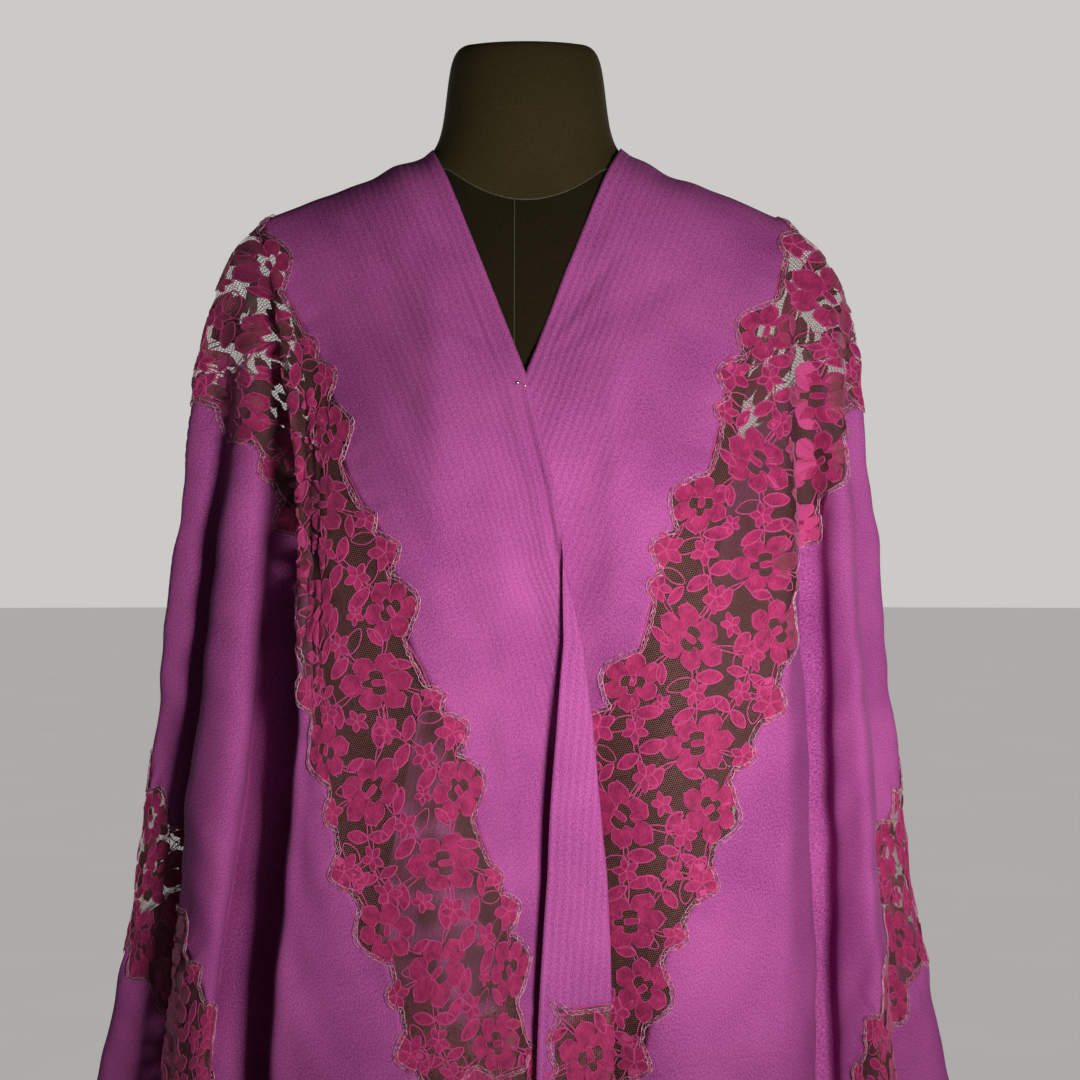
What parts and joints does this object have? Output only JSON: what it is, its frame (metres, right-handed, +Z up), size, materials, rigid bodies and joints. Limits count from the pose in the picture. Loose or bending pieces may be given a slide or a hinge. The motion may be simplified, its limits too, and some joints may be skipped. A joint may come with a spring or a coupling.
{
  "type": "lace shawl on a dress form",
  "caption": "Rectangular wool shawl with inset floral lace bands, crossed over the chest and draped over the shoulders of a limbless dress form on a pole stand.",
  "frame": {"origin": "middle of the stand's foot, on the floor", "axes": "+Z up, -Y out of the front of the form, +X towards the wearer's left"},
  "size_m": [0.6474, 0.406, 1.56],
  "materials": {
    "shawl_cloth": "fine soft wool twill with a slight sheen",
    "shawl_lace": "corded floral lace on a fine hexagonal net",
    "form_jersey": "stretched matt jersey",
    "stand_iron": "satin black"
  },
  "bodies": {
    "root": {"cloth_neck_border": "shawl_cloth", "cloth_field": "shawl_cloth", "cloth_hem_border": "shawl_cloth", "cloth_end_right": "shawl_cloth", "cloth_end_left": "shawl_cloth", "lace_neck_band": "shawl_lace", "lace_hem_band": "shawl_lace", "lace_end_right": "shawl_lace", "lace_end_left": "shawl_lace", "form_torso": "form_jersey", "stand_pole": "stand_iron", "stand_collar": "stand_iron", "stand_base": "stand_iron"}
  },
  "joints": []
}
